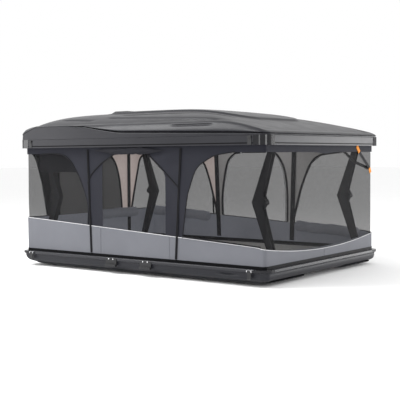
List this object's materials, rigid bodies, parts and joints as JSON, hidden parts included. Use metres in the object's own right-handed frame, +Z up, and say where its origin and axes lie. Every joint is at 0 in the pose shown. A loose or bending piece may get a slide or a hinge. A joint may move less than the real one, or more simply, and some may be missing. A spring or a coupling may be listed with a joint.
{
  "type": "roof top tent",
  "caption": "Hard-shell pop-up roof top tent, standing open: moulded base and lid on folding corner arms, canvas and mesh walls, mattress, latches, roof rails.",
  "frame": {"origin": "on the ground plane under the middle of the base's pontoons", "axes": "+X to the rear end, -Y to the left side with the ladder, +Z up"},
  "size_m": [1.983, 1.4275, 1.0515],
  "materials": {
    "tray_plastic": "satin moulded",
    "lid_plastic": "satin moulded",
    "frame_paint": "powder coat",
    "black_plastic": "matte",
    "black_rubber": "matte",
    "floor_board": "sealed",
    "cushion_cloth": "woven cover",
    "lining_felt": "felt",
    "rail_aluminium": "mill",
    "black_steel": "powder coat",
    "bright_steel": "plated",
    "wall_canvas": "coated canvas",
    "wall_mesh": "insect mesh",
    "band_cloth": "coated canvas",
    "black_webbing": "woven tape"
  },
  "bodies": {
    "base": {"base_shell": "tray_plastic", "base_rim": "frame_paint", "base_corner_caps": "black_plastic", "base_seal": "black_rubber", "floor_panel": "floor_board", "mattress": "cushion_cloth", "mounting_rail_left": "rail_aluminium", "mounting_rail_right": "rail_aluminium", "arm_base_brackets": "black_steel", "base_pivot_pins": "bright_steel", "ladder_bracket_front": "black_plastic", "ladder_bracket_rear": "black_plastic", "ladder_clips": "bright_steel", "latch_hinge_plates": "bright_steel", "canvas_walls": "wall_canvas", "mesh_walls": "wall_mesh", "skirt_band": "band_cloth", "door_zips": "black_webbing", "rolled_door": "wall_canvas", "window_rolls": "band_cloth", "window_blind": "wall_canvas", "pull_strap": "black_webbing"},
    "lower_arm_front_left": {"lower_arm_front_left": "black_steel", "elbow_pin_front_left": "black_steel", "gas_spring_front_left": "black_steel"},
    "upper_arm_front_left": {"upper_arm_front_left": "black_steel"},
    "lower_arm_front_right": {"lower_arm_front_right": "black_steel", "elbow_pin_front_right": "black_steel", "gas_spring_front_right": "black_steel"},
    "upper_arm_front_right": {"upper_arm_front_right": "black_steel"},
    "lower_arm_rear_left": {"lower_arm_rear_left": "black_steel", "elbow_pin_rear_left": "black_steel", "gas_spring_rear_left": "black_steel"},
    "upper_arm_rear_left": {"upper_arm_rear_left": "black_steel"},
    "lower_arm_rear_right": {"lower_arm_rear_right": "black_steel", "elbow_pin_rear_right": "black_steel", "gas_spring_rear_right": "black_steel"},
    "upper_arm_rear_right": {"upper_arm_rear_right": "black_steel"},
    "lid": {"lid_shell": "lid_plastic", "lid_side_left": "frame_paint", "lid_side_right": "frame_paint", "lid_end_front": "frame_paint", "lid_end_rear": "frame_paint", "lid_corner_front_left": "lid_plastic", "lid_corner_front_right": "lid_plastic", "lid_corner_rear_left": "lid_plastic", "lid_corner_rear_right": "lid_plastic", "lid_groove_strip": "black_rubber", "headliner": "lining_felt", "roof_vent": "lid_plastic", "lid_brackets": "black_steel", "lid_pivot_pins": "bright_steel", "lid_keepers": "black_plastic"},
    "latch_front_left": {"latch_front_left": "black_plastic"},
    "latch_front_right": {"latch_front_right": "black_plastic"},
    "latch_rear_left": {"latch_rear_left": "black_plastic"},
    "latch_rear_right": {"latch_rear_right": "black_plastic"}
  },
  "joints": [
    {"name": "lift", "type": "hinge", "parent": "base", "child": "lower_arm_rear_left", "pos_m": [0.93, -0.516, 0.102], "axis": [0, -1, 0], "range_deg": [0, 77.2], "stiffness_Nm_per_rad": 30, "springref_deg": -171.89, "deforming": ["canvas_walls", "mesh_walls", "skirt_band", "door_zips", "rolled_door", "window_rolls", "window_blind", "pull_strap"]},
    {"name": "elbow_rear_left", "type": "hinge", "parent": "lower_arm_rear_left", "child": "upper_arm_rear_left", "pos_m": [0.864, -0.516, 0.4625], "axis": [0, 1, 0], "range_deg": [0, 154.4]},
    {"name": "lid_level", "type": "hinge", "parent": "upper_arm_rear_left", "child": "lid", "pos_m": [0.93, -0.516, 0.823], "axis": [0, -1, 0], "range_deg": [0, 77.2]},
    {"name": "fold_lower_front_left", "type": "hinge", "parent": "base", "child": "lower_arm_front_left", "pos_m": [-0.93, -0.516, 0.102], "axis": [0, 1, 0], "range_deg": [0, 77.2]},
    {"name": "elbow_front_left", "type": "hinge", "parent": "lower_arm_front_left", "child": "upper_arm_front_left", "pos_m": [-0.864, -0.516, 0.4625], "axis": [0, -1, 0], "range_deg": [0, 154.4]},
    {"name": "fold_lower_front_right", "type": "hinge", "parent": "base", "child": "lower_arm_front_right", "pos_m": [-0.93, 0.516, 0.102], "axis": [0, 1, 0], "range_deg": [0, 77.2]},
    {"name": "elbow_front_right", "type": "hinge", "parent": "lower_arm_front_right", "child": "upper_arm_front_right", "pos_m": [-0.864, 0.516, 0.4625], "axis": [0, -1, 0], "range_deg": [0, 154.4]},
    {"name": "fold_lower_rear_right", "type": "hinge", "parent": "base", "child": "lower_arm_rear_right", "pos_m": [0.93, 0.516, 0.102], "axis": [0, -1, 0], "range_deg": [0, 77.2]},
    {"name": "elbow_rear_right", "type": "hinge", "parent": "lower_arm_rear_right", "child": "upper_arm_rear_right", "pos_m": [0.864, 0.516, 0.4625], "axis": [0, 1, 0], "range_deg": [0, 154.4]},
    {"name": "latch_swing_front_left", "type": "hinge", "parent": "base", "child": "latch_front_left", "pos_m": [-0.88, -0.7085, 0.09], "axis": [-1, 0, 0], "range_deg": [0, 150]},
    {"name": "latch_swing_front_right", "type": "hinge", "parent": "base", "child": "latch_front_right", "pos_m": [-0.88, 0.7085, 0.09], "axis": [1, 0, 0], "range_deg": [0, 150]},
    {"name": "latch_swing_rear_left", "type": "hinge", "parent": "base", "child": "latch_rear_left", "pos_m": [0.88, -0.7085, 0.09], "axis": [-1, 0, 0], "range_deg": [0, 150]},
    {"name": "latch_swing_rear_right", "type": "hinge", "parent": "base", "child": "latch_rear_right", "pos_m": [0.88, 0.7085, 0.09], "axis": [1, 0, 0], "range_deg": [0, 150]}
  ],
  "couplings": [
    {"joint": "elbow_rear_left", "follows": "lift", "ratio": 2},
    {"joint": "lid_level", "follows": "lift", "ratio": 1},
    {"joint": "elbow_front_left", "follows": "lift", "ratio": 2},
    {"joint": "fold_lower_front_left", "follows": "lift", "ratio": 1},
    {"joint": "elbow_front_right", "follows": "lift", "ratio": 2},
    {"joint": "fold_lower_front_right", "follows": "lift", "ratio": 1},
    {"joint": "elbow_rear_right", "follows": "lift", "ratio": 2},
    {"joint": "fold_lower_rear_right", "follows": "lift", "ratio": 1}
  ]
}
